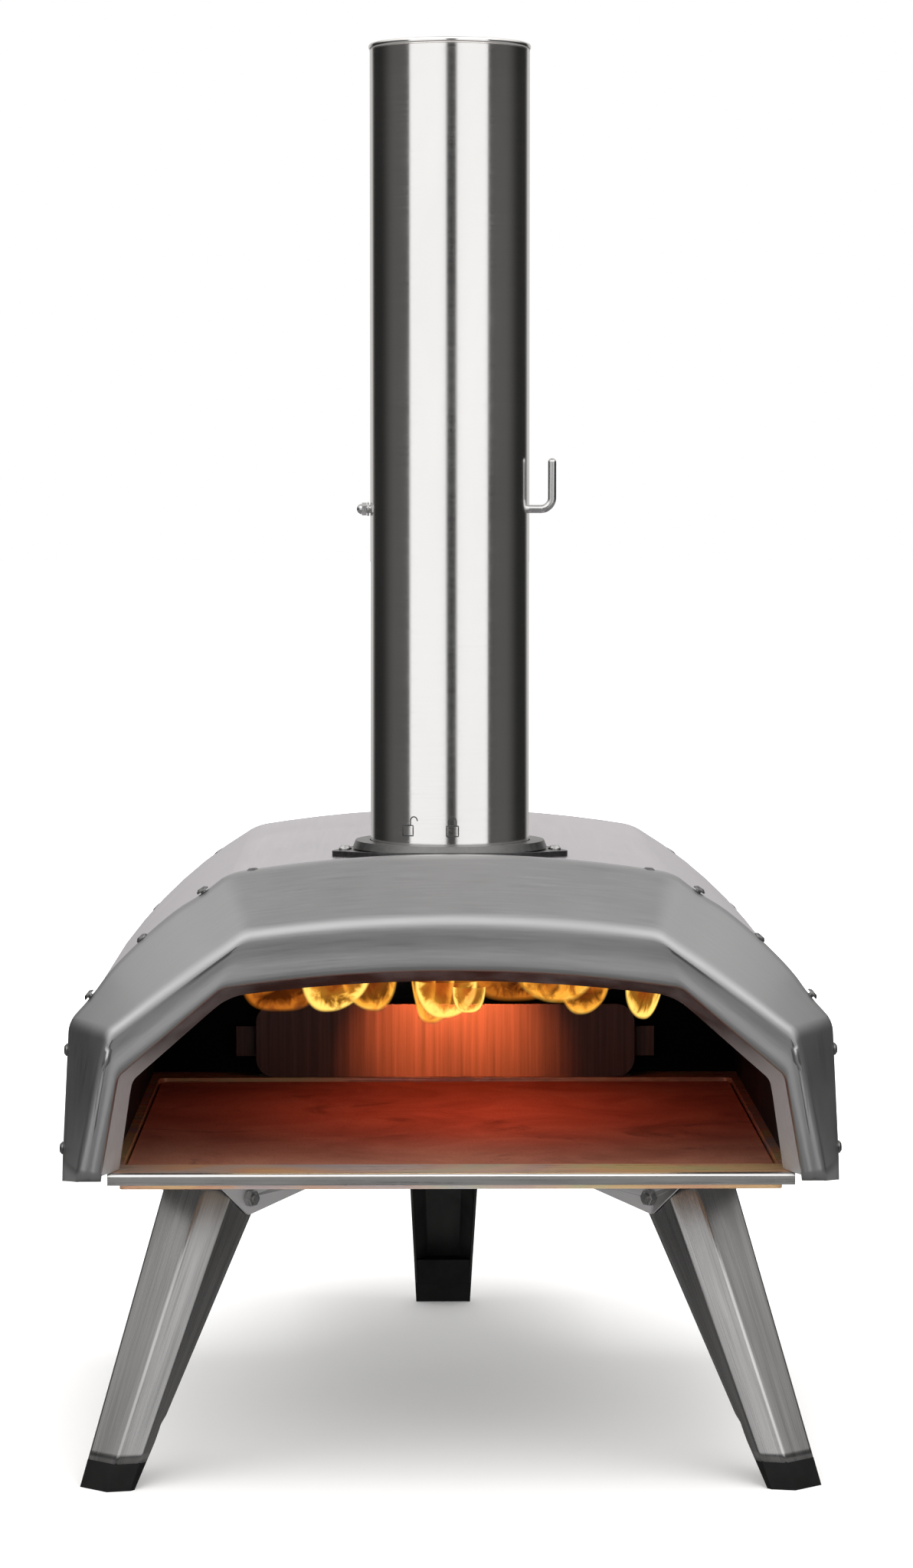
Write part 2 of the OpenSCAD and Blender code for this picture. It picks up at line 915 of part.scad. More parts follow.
module leg() {
    difference() {
        splayed()
            leg_form(0, leg_head, -leg_run);
        splayed()
            leg_form(leg_t, leg_head + 1, -leg_run - 1);
        block([-80, -60, leg_top_z], [80, 60, 60]);
        block([-80, -60, -hinge_z - 60], [140, 60, shoe_h - hinge_z]);
        splayed()
            block([-40, -60, -leg_run - 10], [leg_foot_edge, 60, -leg_step]);
        leg_crown_cut();
        rotate([90, 0, 0])
            cylinder(h = 100, r = bolt_r + bolt_run, center = true, $fn = small_fn);
    }
}

// Rounds the inner top corner of the flanges about the hinge.
module leg_crown_cut() {
    difference() {
        splayed()
            block([-20, -60, 0], [0, 60, 30]);
        rotate([90, 0, 0])
            cylinder(h = 130, r = leg_crown_r, center = true, $fn = small_fn);
    }
}

module foot() {
    intersection() {
        splayed()
            leg_form(0, leg_head, -leg_run);
        block([-80, -60, -hinge_z], [140, 60, shoe_h - 0.05 - hinge_z]);
        splayed()
            block([shoe_edge, -60, -leg_run - 10], [60, 60, 0]);
    }
    intersection() {
        splayed()
            leg_form(leg_t + 0.15, leg_head, -leg_run);
        block([-80, -60, shoe_h - 1 - hinge_z], [140, 60, plug_h - hinge_z]);
        splayed()
            block([shoe_edge, -60, -leg_run - 10], [60, 60, 0]);
    }
}

// Two ears on a plate under the body.
module leg_bracket() {
    plate_top = base_bottom + datum_z - hinge_z - 0.02;
    plate_low = plate_top - ear_t;
    block([-ear_in, -ear_v - ear_t, plate_low], [ear_out, ear_v + ear_t, plate_top]);
    for (v = [ear_v, -ear_v - ear_t])
        translate([0, v + ear_t, 0])
            rotate([90, 0, 0])
                linear_extrude(ear_t)
                    difference() {
                        ear_outline(plate_top);
                        circle(bolt_r, $fn = small_fn);
                    }
}

module ear_outline(top) {
    low_end = [-ear_in, ear_end];
    high_end = [ear_out, top];
    polygon(concat(
        [[-ear_in, top], low_end],
        fillet(low_end, [0.3, -ear_drop], high_end, ear_round),
        [high_end]
    ));
}

module leg_bolt() {
    grip_v = ear_v + ear_t;
    rotate([90, 0, 0]) {
        translate([0, 0, -grip_v - 1])
            cylinder(h = 2 * grip_v + 1 + 5.5, r = bolt_r, $fn = small_fn);
        translate([0, 0, -grip_v - 3.2])
            cylinder(h = 3.2, r = 4.6, $fn = 6);
    }
}

module leg_nut() {
    grip_v = ear_v + ear_t;
    rotate([90, 0, 0])
        translate([0, 0, grip_v])
            difference() {
                cylinder(h = 4, r = 4.6, $fn = 6);
                translate([0, 0, -1])
                    cylinder(h = 6, r = bolt_r, $fn = small_fn);
            }
}

// Stations: each turns +X outwards from the oven's middle and puts the origin on a leg's hinge.
module at_front_left() {
    translate([-hinge_x, front_hinge_y, hinge_z - datum_z])
        rotate([0, 0, -90 - leg_turn])
            children();
}

module at_front_right() {
    mirror([1, 0, 0])
        at_front_left()
            children();
}

module at_rear() {
    translate([0, rear_hinge_y, hinge_z - datum_z])
        rotate([0, 0, 90])
            children();
}

module at_each_leg() {
    at_front_left()
        mirror([0, 1, 0])
            children();
    at_front_right()
        mirror([0, 1, 0])
            children();
    at_rear()
        children();
}

module leg_bracket_left() {
    color("darkgray")
    home()
        at_front_left()
            leg_bracket();
}

module leg_bracket_right() {
    color("darkgray")
    home()
        at_front_right()
            leg_bracket();
}

module leg_bracket_rear() {
    color("darkgray")
    home()
        at_rear()
            leg_bracket();
}

module leg_left() {
    color("silver")
    home()
        at_front_left()
            leg();
}

module leg_right() {
    color("silver")
    home()
        at_front_right()
            leg();
}

module leg_rear() {
    color("silver")
    home()
        at_rear()
            leg();
}

module foot_left() {
    color("black")
    home()
        at_front_left()
            foot();
}

module foot_right() {
    color("black")
    home()
        at_front_right()
            foot();
}

module foot_rear() {
    color("black")
    home()
        at_rear()
            foot();
}

module hinge_bolts() {
    color("silver")
    home()
        at_each_leg()
            leg_bolt();
}

module hinge_nuts() {
    color("silver")
    home()
        at_each_leg()
            leg_nut();
}

front_shroud();
shroud_screws();
mouth_frame();
outer_shell();
inner_shell();
insulation();
rear_wall();
rear_screws();
floor_pan();
base_tray();
baking_stone();
burner_guard();
burner_box();
hatch_lid();
hatch_handle();
hatch_pin();
fuel_tray();
fuel_grate();
tray_handle();
chimney_flange();
flange_screws();
chimney_spigot();
chimney_tube();
damper_plate();
damper_rod();
damper_nut();
damper_washer();
leg_bracket_left();
leg_bracket_right();
leg_bracket_rear();
leg_left();
leg_right();
leg_rear();
foot_left();
foot_right();
foot_rear();
hinge_bolts();
hinge_nuts();
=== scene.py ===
"""Looks of the portable wood fired pizza oven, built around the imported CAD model.

Metres, in the CAD model's frame: +Z up, -Y the front, Z = 0 the ground.
"""

import math
import random

import bpy
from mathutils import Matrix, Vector


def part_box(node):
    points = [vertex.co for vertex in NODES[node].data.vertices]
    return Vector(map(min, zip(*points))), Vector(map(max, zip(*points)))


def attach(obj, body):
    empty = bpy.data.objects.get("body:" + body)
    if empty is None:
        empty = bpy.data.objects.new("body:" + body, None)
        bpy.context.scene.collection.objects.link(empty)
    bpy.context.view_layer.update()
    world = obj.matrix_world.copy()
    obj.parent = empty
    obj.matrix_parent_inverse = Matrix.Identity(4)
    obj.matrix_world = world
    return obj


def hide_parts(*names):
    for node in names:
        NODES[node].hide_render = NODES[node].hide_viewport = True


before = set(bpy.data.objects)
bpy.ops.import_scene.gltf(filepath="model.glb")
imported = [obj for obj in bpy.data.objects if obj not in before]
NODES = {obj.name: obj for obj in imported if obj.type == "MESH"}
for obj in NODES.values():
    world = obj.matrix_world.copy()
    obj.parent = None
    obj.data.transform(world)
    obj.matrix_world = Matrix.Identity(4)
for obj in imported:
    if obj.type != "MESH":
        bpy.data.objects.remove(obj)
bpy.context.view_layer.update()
MM = 0.001

# Places that the CAD source uses: depths are counted from the shroud's ridge, heights from the datum.
RIDGE_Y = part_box("front_shroud")[0].y
DATUM_Z = 6 * MM
CHIMNEY_DEPTH, CHIMNEY_R = 103, 42
CHIMNEY_Y = RIDGE_Y + CHIMNEY_DEPTH * MM

rng = random.Random(7)


def place(x, y, z):
    """A point given in CAD millimetres, in metres in the frame."""
    return Vector((x * MM, RIDGE_Y + y * MM, DATUM_Z + z * MM))


# ---------------------------------------------------------------- mesh helpers


def new_object(name, verts, faces, smooth=True):
    mesh = bpy.data.meshes.new(name)
    mesh.from_pydata([tuple(v) for v in verts], [], faces)
    mesh.update()
    for polygon in mesh.polygons:
        polygon.use_smooth = smooth
    obj = bpy.data.objects.new(name, mesh)
    bpy.context.scene.collection.objects.link(obj)
    return obj


def grid_faces(rows, columns, closed=False):
    """Faces of a grid of points stored row by row. A closed grid joins its last column to its first."""
    faces = []
    for i in range(rows - 1):
        for j in range(columns if closed else columns - 1):
            k = (j + 1) % columns
            faces.append((i * columns + j, i * columns + k, (i + 1) * columns + k, (i + 1) * columns + j))
    return faces


def lathe(name, profile, centre, segments=160):
    """Turns a closed profile of (radius, height) points about a vertical axis."""
    verts = []
    for i in range(segments):
        a = 2 * math.pi * i / segments
        for r, h in profile:
            verts.append((centre.x + r * math.sin(a), centre.y - r * math.cos(a), h))
    count = len(profile)
    faces = []
    for i in range(segments):
        j = (i + 1) % segments
        for k in range(count):
            n = (k + 1) % count
            faces.append((i * count + k, j * count + k, j * count + n, i * count + n))
    return new_object(name, verts, faces)


def sharpen(obj, degrees):
    """Keeps edges sharper than the angle crisp in a smooth shaded mesh."""
    obj.data.set_sharp_from_angle(angle=math.radians(degrees))


def soften(names, width, segments=2, angle=38):
    """Rounds the sharp edges of CAD nodes with modifiers, which leave the CAD mesh as it is."""
    for name in names:
        obj = NODES[name]
        for polygon in obj.data.polygons:
            polygon.use_smooth = True
        weld = obj.modifiers.new("weld", "WELD")
        weld.merge_threshold = 1e-5
        bevel = obj.modifiers.new("bevel", "BEVEL")
        bevel.width = width
        bevel.segments = segments
        bevel.limit_method = "ANGLE"
        bevel.angle_limit = math.radians(angle)
        bevel.use_clamp_overlap = True
        even = obj.modifiers.new("even", "WEIGHTED_NORMAL")
        even.keep_sharp = True
        even.weight = 80


# ---------------------------------------------------------------- arch outlines


def unit(v):
    return v / math.hypot(v[0], v[1])


def fillet(a, b, c, r, n):
    """Points of a round of radius r at corner b."""
    u, v = unit(a - b), unit(c - b)
    half = math.acos(max(-1, min(1, u.dot(v)))) / 2
    centre = b + unit(u + v) * r / math.sin(half)
    start = b + u * r / math.tan(half) - centre
    finish = b + v * r / math.tan(half) - centre
    a0 = math.atan2(start.y, start.x)
    turn = (math.atan2(finish.y, finish.x) - a0 + math.pi) % (2 * math.pi) - math.pi
    angles = [a0 + turn * i / n for i in range(n + 1)]
    return [centre + r * Vector((math.cos(a), math.sin(a))) for a in angles]


def straight(a, b, n):
    return [a + (b - a) * i / n for i in range(n + 1)]


# Height at which the outlines start: the feet below it have their own slanted edge.
FOOT_TRIM = 161.0
HIP_POINTS, SHOULDER_POINTS, EDGE_POINTS, CROWN_POINTS = 8, 8, 16, 20


class Arch:
    """Outline of the right half of an arch: foot, hip, shoulder and crown, and the shoulder edge's bulge."""

    def __init__(self, foot, hip, shoulder, crown, bulge, hip_r, shoulder_r):
        self.foot, self.hip, self.shoulder = Vector(foot), Vector(hip), Vector(shoulder)
        self.crown, self.hip_r, self.shoulder_r = crown, hip_r, shoulder_r
        d = unit(self.shoulder - self.hip)
        self.bulge = Vector((d.y, -d.x)) * 4 * bulge
        rise = crown - self.shoulder.y
        self.radius = (self.shoulder.x ** 2 + rise ** 2) / (2 * rise)
        self.start = math.atan2(self.shoulder.y - crown + self.radius, self.shoulder.x)

    def edge_point(self, f):
        return self.hip + (self.shoulder - self.hip) * f + self.bulge * f * (1 - f)

    def edge_way(self, f):
        return unit(self.shoulder - self.hip + self.bulge * (1 - 2 * f))

    def half(self):
        """Right half from foot to crown, with the same number of points for every arch."""
        ahead = self.shoulder + 30 * Vector((-math.sin(self.start), math.cos(self.start)))
        low = fillet(self.foot, self.hip, self.hip + 30 * self.edge_way(0), self.hip_r, HIP_POINTS)
        foot = self.foot + (self.hip - self.foot) * (FOOT_TRIM - self.foot.y) / (self.hip.y - self.foot.y)
        behind = self.shoulder - 30 * self.edge_way(1)
        high = fillet(behind, self.shoulder, ahead, self.shoulder_r, SHOULDER_POINTS)
        points = straight(foot, low[0], 12)[:-1] + low
        first, last = low[-1], high[0]
        for i in range(1, EDGE_POINTS):
            f = i / EDGE_POINTS
            on_edge = self.edge_point(0.12 + 0.76 * f)
            blend = min(1, f * 5, (1 - f) * 5)
            points.append(on_edge * blend + (first + (last - first) * f) * (1 - blend))
        points += high
        middle = Vector((0, self.crown - self.radius))
        a0 = math.atan2(high[-1].y - middle.y, high[-1].x)
        for i in range(1, CROWN_POINTS + 1):
            a = a0 + (math.pi / 2 - a0) * i / CROWN_POINTS
            points.append(middle + self.radius * Vector((math.cos(a), math.sin(a))))
        return points

    def whole(self):
        """From the left foot over the crown to the right foot."""
        right = self.half()
        left = [Vector((-p.x, p.y)) for p in right]
        return left + right[-2::-1]


SHROUD_REAR = Arch((202, 150), (197.6, 236.8), (113.5, 314.5), 324, 6.3, 16, 30)
SHROUD_RIDGE = Arch((194.4, 150), (177, 237.2), (105.4, 289.8), 297.4, 1, 12, 20)
SHROUD_MOUTH = Arch((181, 150), (169.6, 214), (117.3, 258.7), 267.7, 0, 9, 12)
RIDGE_DEPTH = 3.5
RIM_DEPTH, REAR_DEPTH = 37.0, 45.0
FOOT_FRONT, FOOT_REAR, FOOT_ROUND = 160.5, 153.8, 5.0


# ---------------------------------------------------------------- material helpers


class Shader:
    """A material's node tree, with short calls for the nodes that the finishes use."""

    def __init__(self, name, metallic=0.0, roughness=0.5, colour=(0.5, 0.5, 0.5), specular=0.5):
        self.material = bpy.data.materials.new(name)
        self.material.use_nodes = True
        self.tree = self.material.node_tree
        self.surface = self.tree.nodes["Principled BSDF"]
        self.set("Metallic", metallic)
        self.set("Roughness", roughness)
        self.set("Base Color", (*colour, 1))
        self.set("Specular IOR Level", specular)
        self.place = self.add("ShaderNodeTexCoord").outputs["Object"]

    def set(self, name, value):
        self.join(value, self.surface.inputs[name])

    def join(self, value, socket):
        if isinstance(value, bpy.types.NodeSocket):
            self.tree.links.new(value, socket)
        else:
            socket.default_value = value

    def add(self, kind, inputs=None, **settings):
        node = self.tree.nodes.new(kind)
        for key, value in settings.items():
            setattr(node, key, value)
        for key, value in (inputs or {}).items():
            self.join(value, node.inputs[key])
        return node

    def stretch(self, scale, source=None, turn=(0, 0, 0)):
        inputs = {"Vector": source or self.place, "Scale": scale, "Rotation": turn}
        return self.add("ShaderNodeMapping", inputs).outputs[0]

    def noise(self, vector, scale=1.0, detail=3.0, rough=0.5, warp=0.0):
        inputs = {"Vector": vector, "Scale": scale, "Detail": detail, "Roughness": rough, "Distortion": warp}
        return self.add("ShaderNodeTexNoise", inputs).outputs["Fac"]

    def cells(self, vector, scale, feature="F1"):
        node = self.add("ShaderNodeTexVoronoi", {"Vector": vector, "Scale": scale}, feature=feature)
        return node.outputs["Distance"]

    def span(self, value, low, high, out_low=0.0, out_high=1.0, smooth=False):
        inputs = {"Value": value, "From Min": low, "From Max": high, "To Min": out_low, "To Max": out_high}
        kind = "SMOOTHSTEP" if smooth else "LINEAR"
        return self.add("ShaderNodeMapRange", inputs, interpolation_type=kind).outputs["Result"]

    def ramp(self, value, *stops):
        node = self.add("ShaderNodeValToRGB", {"Fac": value})
        elements = node.color_ramp.elements
        while len(elements) < len(stops):
            elements.new(0.5)
        for element, (at, colour) in zip(elements, stops):
            element.position = at
            element.color = (*colour, 1)
        return node.outputs["Color"]

    def math(self, operation, a, b=0.0):
        node = self.add("ShaderNodeMath", operation=operation)
        self.join(a, node.inputs[0])
        self.join(b, node.inputs[1])
        return node.outputs[0]

    def mix(self, factor, a, b, kind="MIX"):
        node = self.add("ShaderNodeMix", data_type="RGBA", blend_type=kind)
        self.join(factor, node.inputs["Factor"])
        for value, socket in ((a, node.inputs[6]), (b, node.inputs[7])):
            self.join(value if isinstance(value, bpy.types.NodeSocket) else (*value, 1), socket)
        return node.outputs[2]

    def axis(self, index, source=None):
        node = self.add("ShaderNodeSeparateXYZ", {"Vector": source or self.place})
        return node.outputs[index]

    def bump(self, height, strength, distance, below=None):
        inputs = {"Height": height, "Strength": strength, "Distance": distance}
        if below is not None:
            inputs["Normal"] = below
        return self.add("ShaderNodeBump", inputs).outputs["Normal"]


def paint(material, *names):
    """Gives a material to CAD nodes."""
    for name in names:
        materials = NODES[name].data.materials
        materials.clear()
        materials.append(material)


def steel(
    name, dark, light, rough, along, streak=0.25, grain=0.12, smudge=0.06, tint=None, use_uv=False, metal=1.0
):
    """Brushed or satin steel. along is the stretch of the brush lines, small where they run."""
    s = Shader(name, metallic=metal)
    source = s.add("ShaderNodeUVMap", uv_map="brush").outputs[0] if use_uv else s.place
    lines = s.noise(s.stretch(along, source), 1.0, 5, 0.65)
    fine = s.noise(s.stretch(tuple(3.1 * a for a in along), source), 1.0, 2, 0.6)
    cloud = s.noise(s.place, 9.0, 4, 0.6, 0.4)
    speck = s.noise(s.place, 900.0, 2, 0.5)
    level = s.span(lines, 0.3, 0.7, 0.5 - streak, 0.5 + streak)
    level = s.math("ADD", level, s.span(cloud, 0.25, 0.75, -smudge, smudge))
    colour = s.ramp(level, (0.0, dark), (1.0, light))
    if tint is not None:
        colour = tint(s, colour)
    s.set("Base Color", colour)
    blur = s.span(lines, 0.3, 0.7, rough - 0.05, rough + 0.05)
    blur = s.math("ADD", blur, s.span(cloud, 0.3, 0.7, -smudge, smudge))
    s.set("Roughness", blur)
    normal = s.bump(lines, grain, 0.0002)
    normal = s.bump(fine, grain, 0.0001, normal)
    normal = s.bump(speck, grain * 0.5, 0.0001, normal)
    s.set("Normal", normal)
    return s.material


# ---------------------------------------------------------------- finishes

ALONG_X = (14, 1100, 1100)
ALONG_Y = (1100, 14, 1100)
ALONG_Z = (900, 900, 11)
SWIRL = (260, 260, 260)

shroud_steel = steel(
    "shroud_satin", (0.29, 0.29, 0.295), (0.40, 0.40, 0.405), 0.46, (30, 900, 1), 0.16, 0.07, 0.05,
    use_uv=True,
)


def warm_shell(s, colour):
    lilac = s.mix(0.5, (0.95, 0.92, 0.96), (0.97, 0.95, 0.94))
    return s.mix(1.0, colour, lilac, "MULTIPLY")


SHELL_DARK, SHELL_LIGHT = (0.53, 0.52, 0.54), (0.68, 0.665, 0.685)
shell_steel = steel(
    "shell_brushed", SHELL_DARK, SHELL_LIGHT, 0.36, ALONG_Y, 0.18, 0.08, 0.05, warm_shell
)
BARE_SOOT = (0.008, 0.007, 0.007)


def sooty_front(s, colour):
    """Bright steel outside, soot on the face that looks into the oven."""
    inside = s.span(s.axis(1), RIDGE_Y + 402.2 * MM, RIDGE_Y + 403.0 * MM, 1.0, 0.0, True)
    return s.mix(inside, warm_shell(s, colour), BARE_SOOT)


wall_steel = steel(
    "wall_brushed", SHELL_DARK, SHELL_LIGHT, 0.4, ALONG_X, 0.18, 0.08, 0.05, sooty_front
)
box_steel = steel("box_brushed", (0.47, 0.47, 0.475), (0.62, 0.62, 0.625), 0.36, ALONG_X, 0.22, 0.1, 0.06)
base_steel = steel("base_brushed", (0.50, 0.50, 0.50), (0.66, 0.66, 0.66), 0.33, ALONG_X, 0.2, 0.08, 0.05)
bracket_steel = steel(
    "bracket_satin", (0.36, 0.355, 0.36), (0.46, 0.455, 0.46), 0.5, ALONG_X, 0.12, 0.08, 0.05, metal=0.35
)
rim_screw_steel = steel(
    "rim_screw_steel", (0.13, 0.13, 0.13), (0.24, 0.24, 0.24), 0.38, SWIRL, 0.2, 0.1, 0.05
)
screw_steel = steel("screw_steel", (0.45, 0.45, 0.455), (0.62, 0.62, 0.62), 0.30, SWIRL, 0.2, 0.1, 0.05)
rod_steel = steel("rod_steel", (0.42, 0.42, 0.42), (0.60, 0.60, 0.60), 0.24, ALONG_Z, 0.2, 0.06, 0.04)


def soot_and_painted_shade(low_z, high_z, soot_and_shade_colour, strength=0.9):
    """A tint that darkens a steel with height and in clouds: partly soot, partly painted shade where the top
    of the mouth frame is in shadow.
    """

    def tint(s, colour):
        height = s.span(s.axis(2), low_z, high_z, 0.0, 1.0, True)
        cloud = s.span(s.noise(s.place, 22.0, 4, 0.6), 0.3, 0.7, 0.65, 1.1)
        amount = s.math("MULTIPLY", s.math("MULTIPLY", height, cloud), strength)
        amount = s.math("MINIMUM", amount, 1.0)
        return s.mix(amount, colour, soot_and_shade_colour)

    return tint


# The mouth frame darkens towards its crown: soot, and painted shade of the crown that lies in shadow.
frame_steel = steel(
    "frame_steel", (0.24, 0.24, 0.245), (0.38, 0.38, 0.385), 0.45, ALONG_Z, 0.2, 0.1, 0.05,
    soot_and_painted_shade(DATUM_Z + 0.205, DATUM_Z + 0.238, (0.018, 0.017, 0.017), 1.0), metal=0.45,
)
liner_steel = steel(
    "liner_steel", (0.005, 0.0045, 0.0045), (0.014, 0.012, 0.011), 0.78, ALONG_Y, 0.3, 0.12, 0.1, metal=0.4,
)
guard_steel = steel(
    "guard_steel", (0.040, 0.030, 0.025), (0.115, 0.086, 0.070), 0.58, (260, 260, 6), 0.45, 0.12, 0.1,
    metal=0.15,
)
flange_steel = steel(
    "flange_steel", (0.085, 0.085, 0.085), (0.17, 0.17, 0.168), 0.38, SWIRL, 0.25, 0.1, 0.08,
)
tray_steel = steel(
    "tray_steel", (0.10, 0.092, 0.088), (0.24, 0.225, 0.215), 0.48, ALONG_X, 0.3, 0.12, 0.12,
)


def heat_tint(s, colour):
    """Temper colours in soft patches: straw, copper, olive and lilac grey."""
    patches = s.noise(s.stretch((7.5, 26, 20)), 1.0, 3, 0.55, 1.2)
    tempered = s.ramp(
        patches,
        (0.26, (0.40, 0.34, 0.38)), (0.38, (0.55, 0.38, 0.30)), (0.47, (0.66, 0.32, 0.16)),
        (0.56, (0.74, 0.46, 0.18)), (0.64, (0.55, 0.50, 0.20)), (0.74, (0.46, 0.40, 0.44)),
    )
    centre = s.span(s.math("ABSOLUTE", s.axis(0)), 0.02, 0.10, 0.55, 0.0, True)
    tempered = s.mix(centre, tempered, (0.50, 0.48, 0.53))
    top = s.span(s.axis(1), RIDGE_Y + 16.4 * MM, RIDGE_Y + 18.0 * MM, 0.0, 0.85, True)
    s.set("Metallic", s.span(top, 0.0, 0.85, 1.0, 0.5))
    return s.mix(top, colour, tempered)


pan_steel = steel(
    "pan_tempered", (0.55, 0.54, 0.53), (0.74, 0.73, 0.72), 0.30, ALONG_X, 0.2, 0.06, 0.05, heat_tint
)


def chimney_material():
    s = Shader("chimney_polished", metallic=1.0)
    rings = s.noise(s.stretch((30, 30, 2600)), 1.0, 3, 0.6)
    cloud = s.noise(s.stretch((14, 14, 5)), 1.0, 4, 0.55, 0.6)
    s.set("Base Color", s.ramp(cloud, (0.25, (0.83, 0.815, 0.80)), (0.75, (0.90, 0.885, 0.87))))
    blur = s.span(rings, 0.3, 0.7, 0.11, 0.17)
    s.set("Roughness", s.math("ADD", blur, s.span(cloud, 0.3, 0.7, -0.02, 0.03)))
    s.set("Normal", s.bump(rings, 0.018, 0.0001))
    return s.material


def leg_material():
    s = Shader("leg_brushed", metallic=1.0)
    uv = s.add("ShaderNodeUVMap", uv_map="brush").outputs[0]
    lines = s.noise(s.stretch((1500, 9, 1), uv), 1.0, 6, 0.7)
    broad = s.noise(s.stretch((190, 7, 1), uv), 1.0, 3, 0.6)
    cloud = s.noise(s.stretch((40, 12, 1), uv), 1.0, 4, 0.6, 0.8)
    level = s.span(lines, 0.28, 0.72, 0.05, 0.75)
    level = s.math("ADD", level, s.span(broad, 0.3, 0.7, -0.22, 0.28))
    s.set("Base Color", s.ramp(level, (0.0, (0.19, 0.188, 0.188)), (1.0, (0.40, 0.395, 0.392))))
    blur = s.math("ADD", s.span(lines, 0.3, 0.7, 0.22, 0.33), s.span(cloud, 0.3, 0.7, -0.04, 0.07))
    s.set("Roughness", blur)
    s.set("Normal", s.bump(broad, 0.05, 0.0003, s.bump(lines, 0.11, 0.0002)))
    return s.material


def leg_inside_material():
    """The inner side of the folded legs: near black and duller than the outside."""
    s = Shader("leg_inside", metallic=0.6)
    cloud = s.noise(s.place, 30.0, 4, 0.6, 0.5)
    s.set("Base Color", s.ramp(cloud, (0.3, (0.016, 0.016, 0.016)), (0.7, (0.040, 0.039, 0.038))))
    s.set("Roughness", s.span(cloud, 0.3, 0.7, 0.45, 0.6))
    return s.material


def firelit_stone_material():
    s = Shader("stone_cordierite_painted_firelight", roughness=0.88, specular=0.25)
    cloud = s.noise(s.place, 16.0, 5, 0.62, 0.8)
    grain = s.noise(s.place, 620.0, 3, 0.6)
    # The terracotta red of these colours is painted firelight: the stone's own colour is a sand beige, and
    # the red stands in for the glow of the fire on it. The clouds, scorch and pores are the stone's own
    # marks.
    colour = s.ramp(
        cloud, (0.28, (0.34, 0.125, 0.075)), (0.5, (0.50, 0.20, 0.125)), (0.72, (0.60, 0.27, 0.17))
    )
    colour = s.mix(s.span(grain, 0.35, 0.7, 0.0, 0.35), colour, (0.30, 0.12, 0.08))
    scorch = s.noise(s.stretch((11, 11, 11)), 1.0, 5, 0.65, 1.5)
    colour = s.mix(s.span(scorch, 0.56, 0.72, 0.0, 0.55, True), colour, (0.10, 0.045, 0.03))
    pores = s.cells(s.place, 420.0)
    colour = s.mix(s.span(pores, 0.05, 0.16, 0.6, 0.0), colour, (0.09, 0.04, 0.03))
    s.set("Base Color", colour)
    s.set("Roughness", s.span(grain, 0.3, 0.7, 0.8, 0.95))
    normal = s.bump(grain, 0.35, 0.0004)
    s.set("Normal", s.bump(s.span(pores, 0.0, 0.2), 0.4, 0.0005, normal))
    return s.material


def fibre_material():
    s = Shader("fibre_blanket", roughness=0.95, specular=0.2)
    wool = s.noise(s.stretch((120, 900, 120)), 1.0, 5, 0.7, 1.5)
    s.set("Base Color", s.ramp(wool, (0.3, (0.70, 0.68, 0.63)), (0.7, (0.90, 0.88, 0.84))))
    s.set("Sheen Weight", 0.3)
    s.set("Normal", s.bump(wool, 0.8, 0.001))
    return s.material


def polymer(name, dark, light, rough, grain_scale=1400.0):
    s = Shader(name, roughness=rough, specular=0.1)
    grain = s.noise(s.place, grain_scale, 2, 0.6)
    cloud = s.noise(s.place, 60.0, 4, 0.6)
    s.set("Base Color", s.ramp(cloud, (0.3, dark), (0.7, light)))
    s.set("Roughness", s.span(cloud, 0.3, 0.7, rough - 0.06, rough + 0.08))
    s.set("Normal", s.bump(grain, 0.16, 0.0002))
    return s.material


chimney_steel = chimney_material()
leg_steel = leg_material()
leg_inside = leg_inside_material()
stone_painted_firelight = firelit_stone_material()
fibre = fibre_material()
foot_rubber = polymer("foot_polymer", (0.004, 0.004, 0.004), (0.009, 0.009, 0.009), 0.5)
grip_polymer = polymer("grip_polymer", (0.012, 0.012, 0.012), (0.026, 0.025, 0.025), 0.5)

paint(frame_steel, "mouth_frame")
paint(shell_steel, "outer_shell")
paint(wall_steel, "rear_wall")
paint(box_steel, "burner_box", "hatch_lid")
paint(base_steel, "base_tray")
paint(pan_steel, "floor_pan")
paint(stone_painted_firelight, "baking_stone")
paint(guard_steel, "burner_guard", "damper_plate")
paint(liner_steel, "inner_shell")
paint(flange_steel, "chimney_flange")
paint(tray_steel, "fuel_tray", "fuel_grate")
paint(box_steel, "chimney_spigot")
paint(fibre, "insulation")
paint(rod_steel, "damper_rod", "damper_nut", "damper_washer", "hatch_pin")
paint(rim_screw_steel, "shroud_screws")
paint(screw_steel, "rear_screws", "flange_screws", "hinge_bolts", "hinge_nuts")
paint(bracket_steel, "leg_bracket_left", "leg_bracket_right", "leg_bracket_rear")
paint(foot_rubber, "foot_left", "foot_right", "foot_rear")
paint(grip_polymer, "hatch_handle", "tray_handle")

soften(["burner_box", "hatch_lid", "rear_wall", "fuel_tray", "burner_guard"], 0.0005)
soften(["leg_bracket_left", "leg_bracket_right", "leg_bracket_rear"], 0.0003)
soften(["mouth_frame"], 0.0005, 3)
soften(["outer_shell", "inner_shell"], 0.0004)
soften(["base_tray", "floor_pan"], 0.0004)
soften(["baking_stone"], 0.0014, 3)
soften(["chimney_flange"], 0.0007, 3, 30)
soften(["foot_left", "foot_right", "foot_rear"], 0.0009, 3, 25)
soften(["shroud_screws", "rear_screws", "flange_screws"], 0.0005, 3, 20)
soften(["hinge_nuts", "hinge_bolts", "damper_nut", "damper_washer"], 0.0004, 2, 25)
soften(["damper_rod", "hatch_handle", "tray_handle", "hatch_pin", "damper_plate"], 0.0002)


# ---------------------------------------------------------------- front shroud


